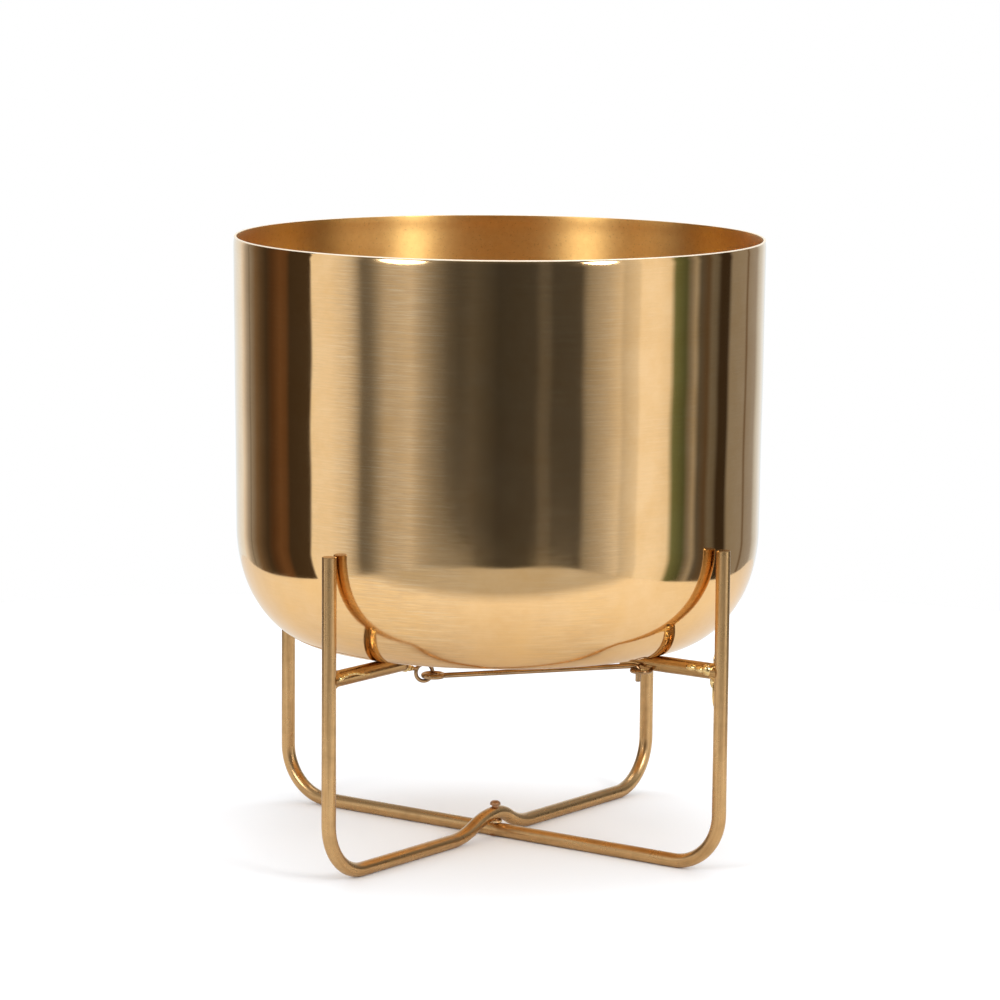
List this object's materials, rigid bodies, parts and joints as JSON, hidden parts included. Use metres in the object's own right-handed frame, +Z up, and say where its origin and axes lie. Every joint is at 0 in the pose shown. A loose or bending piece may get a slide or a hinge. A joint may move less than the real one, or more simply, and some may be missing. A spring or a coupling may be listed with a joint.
{
  "type": "planter pot on folding stand",
  "caption": "Round polished brass planter with a rounded base, carried on the stub arms of a folding cross stand of bent brass rod with a hooked wire stay.",
  "frame": {"origin": "on the floor, on the axis of the pivot rivet, which is also the axis of the pot", "axes": "+Z up through the pot; the hump frame lies on the diagonal from (-X, -Y) at the front left to (+X, +Y) at the back right, the flat frame on the other diagonal"},
  "size_m": [0.3, 0.3, 0.348],
  "materials": {
    "pot_brass": "polished sheet outside, satin inside, faint turning marks",
    "rod_brass": "satin, toned golden brown",
    "wire_brass": "satin, dull",
    "braze": "bright, lumpy",
    "rivet_brass": "dull, browned"
  },
  "bodies": {
    "hump_side": {"hump_frame": "rod_brass", "arm_front_left": "rod_brass", "arm_back_right": "rod_brass", "braze_front_left": "braze", "braze_back_right": "braze", "pivot_rivet": "rivet_brass", "spacer_washer": "rivet_brass", "link_ring": "wire_brass", "link_braze": "braze"},
    "flat_side": {"flat_frame": "rod_brass", "arm_front_right": "rod_brass", "arm_back_left": "rod_brass", "braze_front_right": "braze", "braze_back_left": "braze", "keeper_ring": "wire_brass", "keeper_braze": "braze"},
    "pot": {"pot_shell": "pot_brass"},
    "stay": {"stay_rod": "wire_brass"}
  },
  "joints": [
    {"name": "frame_fold", "type": "hinge", "parent": "hump_side", "child": "flat_side", "pos_m": [0, 0, 0.004], "axis": [0, 0, 1], "range_deg": [0, 62]},
    {"name": "pot_lift", "type": "slide", "parent": "hump_side", "child": "pot", "axis": [0, 0, 1], "range_m": [0, 0.25]},
    {"name": "stay_swing", "type": "hinge", "parent": "hump_side", "child": "stay", "pos_m": [-0.04544, -0.0547, 0.1061], "axis": [0, 0, 1], "range_deg": [-60, 0]}
  ]
}
